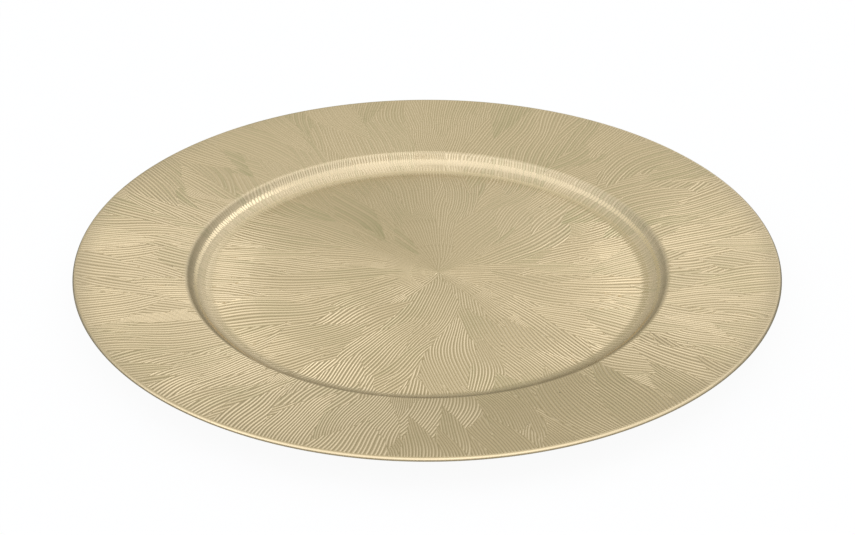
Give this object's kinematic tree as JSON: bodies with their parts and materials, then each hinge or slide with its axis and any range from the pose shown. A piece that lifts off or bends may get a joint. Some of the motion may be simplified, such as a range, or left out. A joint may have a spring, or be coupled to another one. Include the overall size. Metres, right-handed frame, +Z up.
{
  "type": "charger plate",
  "caption": "Shallow round show plate with a broad flared rim and a sunk well, faced in combed gold film over a moulded blank on a foot ring, to stand under a dinner plate.",
  "frame": {"origin": "on the table, under the centre of the plate", "axes": "+Z up along the axis of the plate, +X to the right and +Y away from the viewer in the picture"},
  "size_m": [0.33, 0.33, 0.0167],
  "materials": {
    "blank": "dark warm-grey moulded plastic with a fine moulded grain",
    "gold": "satin champagne-gold metallised film, embossed with combed lines"
  },
  "bodies": {
    "root": {"plate_blank": "blank", "gold_film": "gold"}
  },
  "joints": []
}
